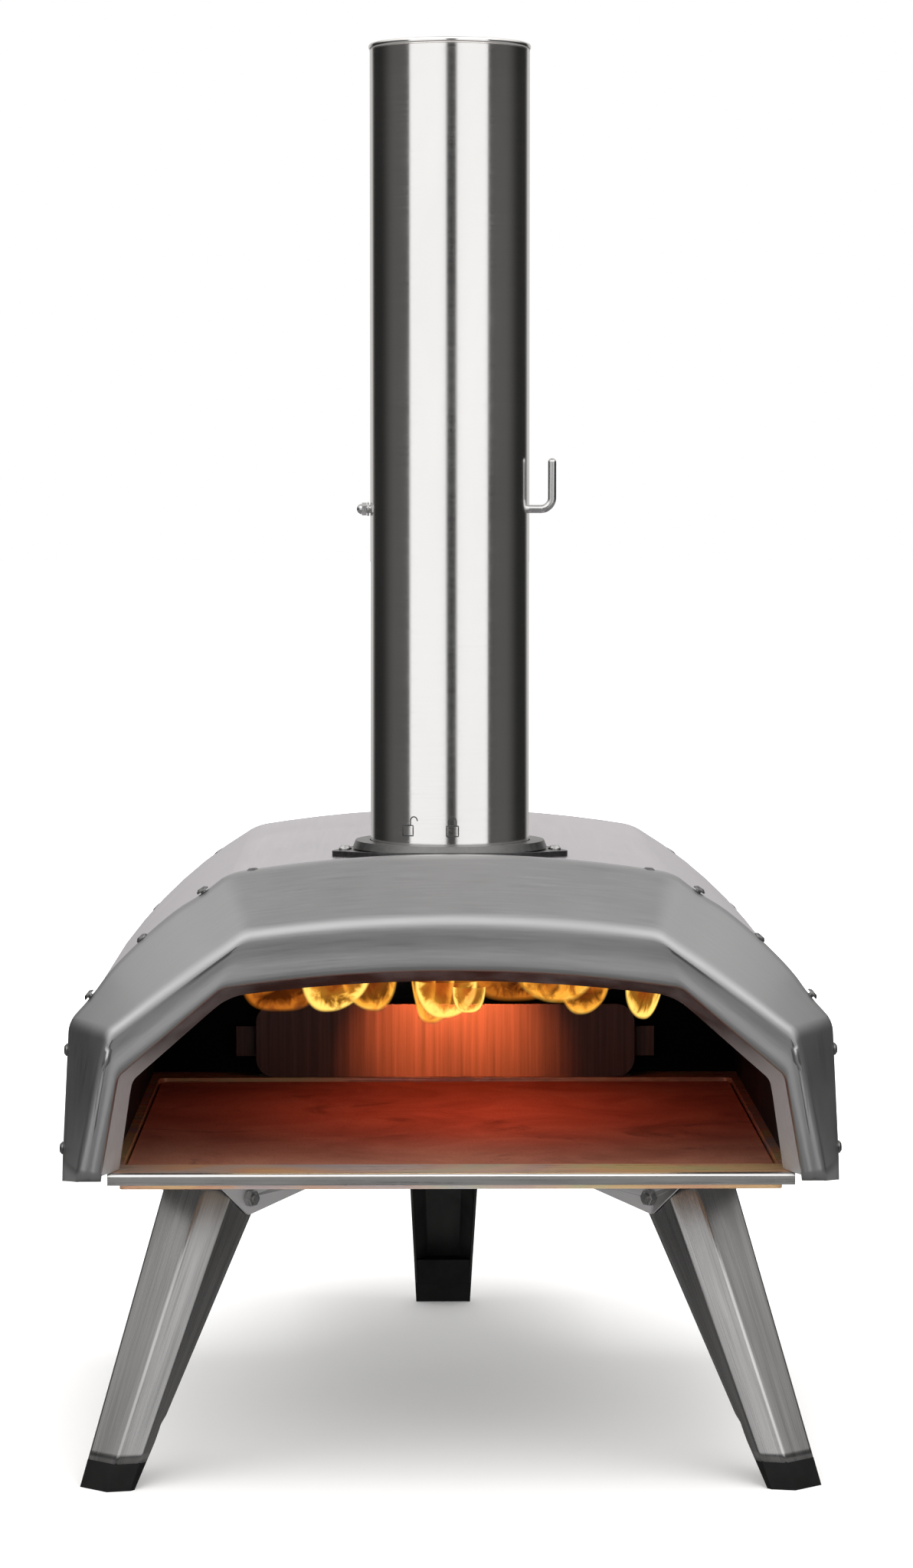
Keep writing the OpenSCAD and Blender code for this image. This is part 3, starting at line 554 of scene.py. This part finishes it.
def add_brush_uv(obj, columns, uv_of):
    """UV layer in metres that the brush lines follow, from each grid point's row and column."""
    layer = obj.data.uv_layers.new(name="brush")
    for polygon in obj.data.polygons:
        for loop in polygon.loop_indices:
            index = obj.data.loops[loop].vertex_index
            layer.data[loop].uv = uv_of(index // columns, index % columns)


SHEET = 1.5
LIP_R, LIP_DEPTH, LIP_POINTS = 3.4, 7.0, 7
BAND_BOW, BAND_POINTS = 0.45, 9
RIDGE_POINTS, SLANT_POINTS = 12, 12
# Depths of the flat rim's rows, which crowd where its lower corner is round.
RIM_ROWS = (38.8, 40.2, 41.4, 42.5, 43.4, 44.2, 44.7, 44.95, REAR_DEPTH)


def make_shroud():
    """The stamped front: rim, slanted outer band, soft ridge, flat front band and turned-in edge."""
    rear, ridge, mouth = SHROUD_REAR.whole(), SHROUD_RIDGE.whole(), SHROUD_MOUTH.whole()
    sections = []
    for r, g, m in zip(rear, ridge, mouth):
        out, back = unit(g - m), unit(r - g)
        slope = (r - g).length / (RIM_DEPTH - RIDGE_DEPTH)
        # The corner where the slanted band would meet the front plane.
        corner = g - back * slope * RIDGE_DEPTH
        arm = min(5.5, 3.2 + 3.0 * slope)
        band = (corner - m).length
        section = [(m, LIP_DEPTH - 1.2 * k) for k in range(4)]
        for k in range(1, LIP_POINTS + 1):
            a = math.pi / 2 * k / LIP_POINTS
            section.append((m + out * LIP_R * (1 - math.cos(a)), LIP_R * (1 - math.sin(a))))
        for k in range(1, BAND_POINTS):
            t = k / BAND_POINTS
            reach = LIP_R + (band - arm - LIP_R) * t
            section.append((m + out * reach, BAND_BOW * math.sin(math.pi * t) ** 2))
        for k in range(RIDGE_POINTS + 1):
            t = k / RIDGE_POINTS
            p0, p2 = corner - out * arm, corner + back * slope * arm / math.hypot(1, slope)
            at = p0 * (1 - t) ** 2 + 2 * corner * t * (1 - t) + p2 * t ** 2
            section.append((at, t ** 2 * arm / math.hypot(1, slope)))
        start, y0 = section[-1]
        end = r - back * 1.2
        for k in range(1, SLANT_POINTS + 1):
            t = k / (SLANT_POINTS + 0.6)
            section.append((start + (end - start) * t, y0 + (RIM_DEPTH - 1 - y0) * t))
        section += [(r - back * 0.2, RIM_DEPTH + 0.6)]
        section += [(r, y) for y in RIM_ROWS]
        sections.append(section)
    rows, columns = len(sections), len(sections[0])
    verts = []
    for i, section in enumerate(sections):
        for p, y in section:
            z = p.y
            if i in (0, rows - 1):
                # The feet fall towards the rear, where their corner is round.
                z = FOOT_FRONT + (FOOT_REAR - FOOT_FRONT) * y / REAR_DEPTH
                inside = max(0.0, FOOT_ROUND - (REAR_DEPTH - y))
                z += FOOT_ROUND - math.sqrt(FOOT_ROUND ** 2 - inside ** 2)
            verts.append(place(p.x, y, z))
    obj = new_object("shroud_skin", verts, grid_faces(rows, columns))
    along = [0.0]
    for i in range(1, rows):
        along.append(along[-1] + (rear[i] - rear[i - 1]).length * MM)
    across = [0.0]
    for j in range(1, columns):
        across.append(across[-1] + (verts[columns * 20 + j] - verts[columns * 20 + j - 1]).length)
    add_brush_uv(obj, columns, lambda i, j: (along[i], across[j]))
    solid = obj.modifiers.new("sheet", "SOLIDIFY")
    solid.thickness = SHEET * MM
    solid.offset = 1
    obj.data.materials.append(shroud_steel)
    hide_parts("front_shroud")
    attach(obj, "oven")


make_shroud()


# ---------------------------------------------------------------- chimney


def make_chimney():
    """Polished tube with a rolled rim and an open top."""
    r, wall = CHIMNEY_R * MM, 1 * MM
    low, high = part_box("chimney_tube")[0].z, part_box("chimney_tube")[1].z
    bead = 0.6 * MM
    profile = [(r, low)]
    steps = 24
    for i in range(1, steps):
        profile.append((r, low + (high - 4.2 * MM - low) * i / steps))
    profile += [(r, high - 4.0 * MM), (r + 0.1 * MM, high - 3.4 * MM)]
    for i in range(9):
        a = math.pi * (i / 8 - 0.5)
        across = (bead + 0.4 * MM) * math.cos(a) - 0.4 * MM
        profile.append((r + across, high - 1.5 * MM * (1 - math.sin(a))))
    profile += [(r - wall, high - 0.8 * MM), (r - wall, high - 60 * MM), (r - wall, low)]
    obj = lathe("chimney_skin", profile, Vector((0, CHIMNEY_Y, 0)), 192)
    sharpen(obj, 50)
    obj.data.materials.append(chimney_steel)
    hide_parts("chimney_tube")
    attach(obj, "chimney")


make_chimney()


def etched_material():
    s = Shader("etched_mark", metallic=0.4)
    cloud = s.noise(s.place, 400.0, 3, 0.6)
    s.set("Base Color", s.ramp(cloud, (0.3, (0.035, 0.035, 0.035)), (0.7, (0.075, 0.075, 0.075))))
    s.set("Roughness", s.span(cloud, 0.3, 0.7, 0.45, 0.6))
    return s.material


def make_mark(name, azimuth, path, material):
    """A line etched into the chimney: the path gives its points in millimetres across and up."""
    radius, half_width = CHIMNEY_R + 0.02, 0.32
    points = [Vector(point) for point in path]
    verts = []
    for i, point in enumerate(points):
        way = unit(points[min(i + 1, len(points) - 1)] - points[max(i - 1, 0)])
        for side in (-half_width, half_width):
            at = point + Vector((-way.y, way.x)) * side
            a = math.radians(azimuth) + at.x / radius
            verts.append(place(radius * math.sin(a), CHIMNEY_DEPTH - radius * math.cos(a), at.y))
    obj = new_object(name, verts, grid_faces(len(points), 2))
    solid = obj.modifiers.new("depth", "SOLIDIFY")
    solid.thickness = 0.03 * MM
    obj.data.materials.append(material)
    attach(obj, "chimney")


def make_lock_marks():
    """Two small padlock outlines, one shut and one open, where the chimney turns on its spigot."""
    material = etched_material()
    low, width, height = 331.8, 3.1, 5.4
    case = [(-width, low), (width, low), (width, low + height), (-width, low + height), (-width, low)]
    outline = [Vector(a) + (Vector(b) - Vector(a)) * k / 4 for a, b in zip(case, case[1:]) for k in range(4)]
    outline.append(Vector(case[-1]))
    for name, azimuth, shift in (("mark_shut", 1.3, 0.0), ("mark_open", -32.0, 3.6)):
        top = low + height + 2.4
        turns = [math.pi * k / 12 for k in range(13)]
        bow = [(shift + 2.0 * math.cos(a), top + 2.2 * math.sin(a)) for a in turns]
        near_leg = [(shift + 2.0, low + height + 2.4 * k / 3) for k in range(3)]
        far_leg = [(shift - 2.0, top - 2.4 * k / 3) for k in range(1, 4)]
        make_mark(name + "_case", azimuth, outline, material)
        make_mark(name + "_bow", azimuth, (near_leg if shift == 0 else []) + bow + far_leg, material)


make_lock_marks()


# ---------------------------------------------------------------- legs

LEG_SPLAY = math.radians(25)
LEG_TURN = math.radians(40)
HINGE_Z = 143.6
WEB_W = 23.4
AT_HINGE = (13.9, 15.4, -8.4)
AT_FLOOR = (9.9, 11.7, 11.0)
SIDE_FOLD = math.radians(50)
LEG_REACH = HINGE_Z / math.cos(LEG_SPLAY)
LEG_TOP = 6.6
CROWN_R = 9.0
STEP_T, STEP_W = 122.0, 8.2
SHOE_H = 13.5


def leg_section(t):
    """Half width of the web, width of a folded side and reach of the flanges, at length t below the hinge."""
    return [a + (b - a) * t / LEG_REACH for a, b in zip(AT_HINGE, AT_FLOOR)]


def leg_profile(t):
    """Half of the section as (w, v) points, from the web's middle to the flange's end, with rounded folds."""
    web, side, reach = leg_section(t)
    corner = Vector((WEB_W - side * math.sin(SIDE_FOLD), web + side * math.cos(SIDE_FOLD)))
    inner = max(reach, STEP_W) if t > STEP_T else reach
    middle, fold = Vector((WEB_W, 0)), Vector((WEB_W, web))
    end = Vector((inner, corner.y))
    fold_arc = fillet(middle, fold, corner, 3.2, 6)
    side_arc = fillet(fold, corner, end, 2.4, 6)
    points = straight(middle, fold_arc[0], 5)[:-1] + fold_arc
    points += straight(fold_arc[-1], side_arc[0], 5)[1:-1] + side_arc
    points += straight(side_arc[-1], end, 7)[1:]
    return points


def make_leg(name, body, hinge, out):
    """A folded channel that tapers down to its shoe."""
    axis = Vector((-out.y, out.x, 0))
    sin_s, cos_s = math.sin(LEG_SPLAY), math.cos(LEG_SPLAY)

    def top_of(w):
        level = (w * sin_s - LEG_TOP) / cos_s
        return max(level, -math.sqrt(max(0, CROWN_R ** 2 - w * w))) if w < 0 else level

    rows = [0.0, 0.01, 0.02, 0.035, 0.05] + [0.05 + 0.73 * i / 16 for i in range(1, 17)]
    rows += [0.7835, 0.79] + [0.79 + 0.21 * i / 6 for i in range(1, 7)]
    count = len(leg_profile(0))
    verts = []
    for f in rows:
        line = []
        for k in range(count):
            start = top_of(leg_profile(0)[k].x)
            start = top_of(leg_profile(start)[k].x)
            bottom = LEG_REACH
            for _ in range(3):
                w = leg_profile(bottom)[k].x
                bottom = (w * sin_s + HINGE_Z - SHOE_H) / cos_s
            t = start + (bottom - start) * f
            p = leg_profile(t)[k]
            line.append((p.x, p.y, t))
        for w, v, t in [(w, -v, t) for w, v, t in line[:0:-1]] + line:
            shift = out * (w * cos_s + t * sin_s) + axis * v
            verts.append(hinge + (shift + Vector((0, 0, w * sin_s - t * cos_s))) * MM)
    columns = 2 * count - 1
    obj = new_object(name, verts, grid_faces(len(rows), columns))
    half = [0.0]
    reference = leg_profile(60)
    for i in range(1, count):
        half.append(half[-1] + (reference[i] - reference[i - 1]).length * MM)
    across = [-h for h in half[:0:-1]] + half
    add_brush_uv(obj, columns, lambda i, j: (across[j] + hinge.x, rows[i] * 0.16 + hinge.y))
    solid = obj.modifiers.new("sheet", "SOLIDIFY")
    solid.thickness = SHEET * MM
    solid.offset = 1
    solid.material_offset = 1
    obj.data.materials.append(leg_inside)
    obj.data.materials.append(leg_steel)
    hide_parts(name.replace("_skin", ""))
    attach(obj, body)


HINGE_X, FRONT_HINGE_Y, REAR_HINGE_Y = 126.2, 103.9, 469.0
hinge_level = HINGE_Z - 6
for side, body in ((-1, "left"), (1, "right")):
    out = Vector((side * math.sin(LEG_TURN), -math.cos(LEG_TURN), 0))
    make_leg(f"leg_{body}_skin", f"{body}_leg", place(side * HINGE_X, FRONT_HINGE_Y, hinge_level), out)
make_leg("leg_rear_skin", "rear_leg", place(0, REAR_HINGE_Y, hinge_level), Vector((0, 1, 0)))


# ---------------------------------------------------------------- flames, which are not part of the oven


def flame_material(name, heat):
    s = Shader(name)
    rim = s.add("ShaderNodeAttribute", attribute_name="rim").outputs["Fac"]
    wisps = s.noise(s.stretch((70, 70, 45)), 1.0, 3, 0.55, 2.2)
    swirl = s.math("ADD", rim, s.span(wisps, 0.3, 0.7, -0.13, 0.13))
    colour = s.ramp(
        s.math("MULTIPLY", swirl, heat),
        (0.0, (0.80, 0.13, 0.015)), (0.40, (0.95, 0.20, 0.020)), (0.62, (1.0, 0.32, 0.03)),
        (0.84, (1.0, 0.44, 0.05)), (1.0, (1.0, 0.62, 0.13)),
    )
    fade = s.span(rim, 0.90, 1.0, 1.0, 0.0)
    edge = s.math("MULTIPLY", s.span(swirl, 0.66, 0.88), fade)
    body = s.math("MULTIPLY", s.span(wisps, 0.3, 0.7, 0.45, 1.0), fade)
    power = s.math("ADD", s.math("MULTIPLY", edge, 0.62 * heat), 0.62 * heat)
    cover = s.math("ADD", s.math("MULTIPLY", edge, 0.72 * heat), s.math("MULTIPLY", body, 0.5 * heat))
    cover = s.math("MINIMUM", cover, 1.0)
    glow = s.add("ShaderNodeEmission", {"Color": colour, "Strength": power}).outputs[0]
    through = s.add("ShaderNodeBsdfTransparent").outputs[0]
    both = s.add("ShaderNodeMixShader")
    s.join(cover, both.inputs[0])
    s.join(through, both.inputs[1])
    s.join(glow, both.inputs[2])
    output = s.tree.nodes["Material Output"]
    s.tree.links.new(both.outputs[0], output.inputs["Surface"])
    return s.material


def make_flames():
    """Lobes of flame that roll along the ceiling: thin curved sheets with a bright rim."""
    # Middle, depth, half width, lowest point and heat of each lobe.
    lobes = [
        (-90, 150, 24, 227.8, 0.6), (-60, 110, 19, 234.5, 1.2), (-44, 165, 16, 228.2, 0.9),
        (-7.5, 140, 11, 222.5, 0.9), (-2, 105, 17, 231.5, 1.2), (16, 200, 50, 236.5, 0.6),
        (42, 170, 30, 230.5, 0.6), (73, 150, 14.5, 228.0, 0.9), (106, 140, 10.5, 226.7, 1.2),
        (-30, 220, 40, 237.0, 0.9), (88, 210, 30, 233.0, 0.6), (-104, 200, 22, 232.5, 0.6),
        (10, 90, 9, 235.0, 1.2), (-14, 160, 7, 226.5, 0.9), (60, 120, 26, 238.0, 0.9),
    ]
    materials = {heat: flame_material(f"flame_{heat}", heat) for heat in sorted({lobe[4] for lobe in lobes})}
    around, rings = 48, 16
    for number, (x, y, half, low, heat) in enumerate(lobes):
        verts, rims = [], []
        lean = rng.uniform(-0.25, 0.25)
        top = max(250, low + 1.15 * half)
        for i in range(rings + 1):
            rho = (i / rings) ** 0.7
            for j in range(around + 1):
                a = math.pi * j / around
                u = rho * math.copysign(abs(math.cos(a)) ** 0.85, math.cos(a))
                v = rho * math.sin(a) ** 0.9
                ripple = 1 + 0.05 * math.sin(3 * a + 2.1 * number) * rho
                down = (top - low) * v * ripple
                bow = 9 * math.sqrt(max(0.0, 1 - rho * rho))
                verts.append(place(x + half * u + lean * half * v, y - bow, top - down))
                rims.append(rho)
        sheet = new_object(f"flame_{number}", verts, grid_faces(rings + 1, around + 1))
        attribute = sheet.data.attributes.new("rim", "FLOAT", "POINT")
        attribute.data.foreach_set("value", rims)
        sheet.data.materials.append(materials[heat])
        sheet.visible_diffuse = False
        sheet.visible_glossy = False
        sheet.visible_shadow = False


make_flames()


# ---------------------------------------------------------------- floor, world and lights


def make_floor():
    s = Shader("floor_white", roughness=0.9, specular=0.0)
    distance = s.add("ShaderNodeVectorMath", {0: s.stretch((1, 1, 0))}, operation="LENGTH").outputs["Value"]
    far = s.span(distance, 0.70, 1.8, 0.0, 1.0, True)
    s.set("Base Color", (0.86, 0.86, 0.86, 1))
    s.set("Emission Color", (1, 1, 1, 1))
    s.set("Emission Strength", s.math("ADD", 0.12, s.math("MULTIPLY", far, 0.95)))
    size = 30
    corners = [(-size, -size, 0), (size, -size, 0), (size, size, 0), (-size, size, 0)]
    floor = new_object("floor", corners, [(0, 1, 2, 3)])
    floor.data.materials.append(s.material)
    floor.visible_glossy = False


def make_world():
    """White for the camera. Reflections see a studio: soft boxes beside and above the camera, dark sides."""
    world = bpy.data.worlds.new("studio")
    bpy.context.scene.world = world
    world.use_nodes = True
    s = Shader.__new__(Shader)
    s.tree = world.node_tree
    s.tree.nodes.clear()
    direction = s.add("ShaderNodeTexCoord").outputs["Generated"]
    x, y, z = (s.axis(i, direction) for i in range(3))
    azimuth = s.math("MULTIPLY", s.math("ARCTAN2", x, s.math("MULTIPLY", y, -1.0)), math.degrees(1))
    height = s.math("MULTIPLY", s.math("ARCSINE", z), math.degrees(1))

    def window(value, low, high, edge):
        rise = s.span(value, low - edge, low + edge, 0.0, 1.0, True)
        fall = s.span(value, high - edge, high + edge, 1.0, 0.0, True)
        return s.math("MULTIPLY", rise, fall)

    level = s.span(height, 6, 40, 0.022, 0.62, True)
    side = s.math("ABSOLUTE", azimuth)
    parts = [
        (window(azimuth, -75, 75, 12), window(height, 26, 66, 8), 1.35),
        (window(side, 60, 128, 8), window(height, 20, 60, 10), 0.55),
        (window(side, 148, 200, 8), window(height, -6, 60, 5), 0.60),
        (window(side, 58, 102, 16), window(height, -24, 24, 8), 0.07),
        (window(height, -90, -14, 6), 1.0, 0.30),
    ]
    for a, b, power in parts:
        level = s.math("ADD", level, s.math("MULTIPLY", s.math("MULTIPLY", a, b), power))
    studio = s.add("ShaderNodeBackground", {"Color": (1.0, 0.985, 0.97, 1), "Strength": level}).outputs[0]
    white = s.add("ShaderNodeBackground", {"Color": (1, 1, 1, 1), "Strength": 1.0}).outputs[0]
    mix = s.add("ShaderNodeMixShader")
    s.join(s.add("ShaderNodeLightPath").outputs["Is Camera Ray"], mix.inputs[0])
    s.join(studio, mix.inputs[1])
    s.join(white, mix.inputs[2])
    s.tree.links.new(mix.outputs[0], s.add("ShaderNodeOutputWorld").inputs["Surface"])


def area_light(name, at, target, size, power, colour=(1, 1, 1), spread=180):
    data = bpy.data.lights.new(name, "AREA")
    data.energy = power
    data.color = colour
    data.spread = math.radians(spread)
    data.shape = "RECTANGLE"
    data.size, data.size_y = size
    light = bpy.data.objects.new(name, data)
    light.location = at
    light.rotation_euler = (Vector(target) - Vector(at)).to_track_quat("-Z", "Y").to_euler()
    light.visible_camera = False
    bpy.context.scene.collection.objects.link(light)
    return light


make_floor()
make_world()

overhead = area_light("overhead", (0.1, -0.1, 2.4), (0, 0, 0), (1.6, 1.6), 34)
overhead.visible_glossy = False


def softbox(name, azimuth, distance, width, height, radiance):
    """An upright soft box, seen in reflections. Azimuths are counted from straight ahead, to the right."""
    a = math.radians(azimuth)
    middle = Vector((0, CHIMNEY_Y, 0))
    at = middle + Vector((math.sin(a), -math.cos(a), 0)) * distance + Vector((0, 0, 0.04 + height / 2))
    target = middle + Vector((0, 0, at.z))
    return area_light(name, at, target, (width, height), radiance * math.pi * width * height)


softbox("softbox_left", -32.6, 1.75, 1.80, 1.8, 1.0)
softbox("softbox_right", 32.2, 1.75, 1.50, 1.8, 1.0)

FIRE = (1.0, 0.19, 0.055)
EMBER = (1.0, 0.2, 0.108)
FLAME_GLOW = (1.0, 0.66, 0.36)


def spot_light(name, at, target, power, angle, blend, radius, colour):
    data = bpy.data.lights.new(name, "SPOT")
    data.energy, data.color = power, colour
    data.spot_size, data.spot_blend = math.radians(angle), blend
    data.shadow_soft_size = radius
    light = bpy.data.objects.new(name, data)
    light.location = at
    light.rotation_euler = (Vector(target) - Vector(at)).to_track_quat("-Z", "Y").to_euler()
    light.visible_camera = False
    bpy.context.scene.collection.objects.link(light)
    return light


on_guard = spot_light("fire_on_guard", place(4, 302, 224), place(5, 378, 192), 2.1, 84, 0.7, 0.004, FIRE)
on_lip = area_light(
    "fire_on_lip", place(0, 70, 240), place(0, 26, 163), (0.24, 0.02), 0.05, FLAME_GLOW, 170
)
# These two light only the piece that they are for, so that the fire leaves its neighbours dark.
for light, node in ((on_guard, "burner_guard"), (on_lip, "floor_pan")):
    lit = bpy.data.collections.new("lit_by_" + light.name)
    lit.objects.link(NODES[node])
    light.light_linking.receiver_collection = lit
glow = area_light("fire_on_stone", place(14, 232, 266), place(14, 232, 160), (0.06, 0.16), 0.105, EMBER, 170)
glow.visible_glossy = False

camera_data = bpy.data.cameras.new("camera")
camera_data.lens = 98.09
camera_data.sensor_width = 36
camera = bpy.data.objects.new("camera", camera_data)
camera.location = (-0.022, -2.478, 0.516)
camera.rotation_euler = (math.radians(90 - 3.886), 0, math.radians(-0.647))
bpy.context.scene.collection.objects.link(camera)
bpy.context.scene.camera = camera
bpy.context.scene.view_settings.view_transform = "Standard"
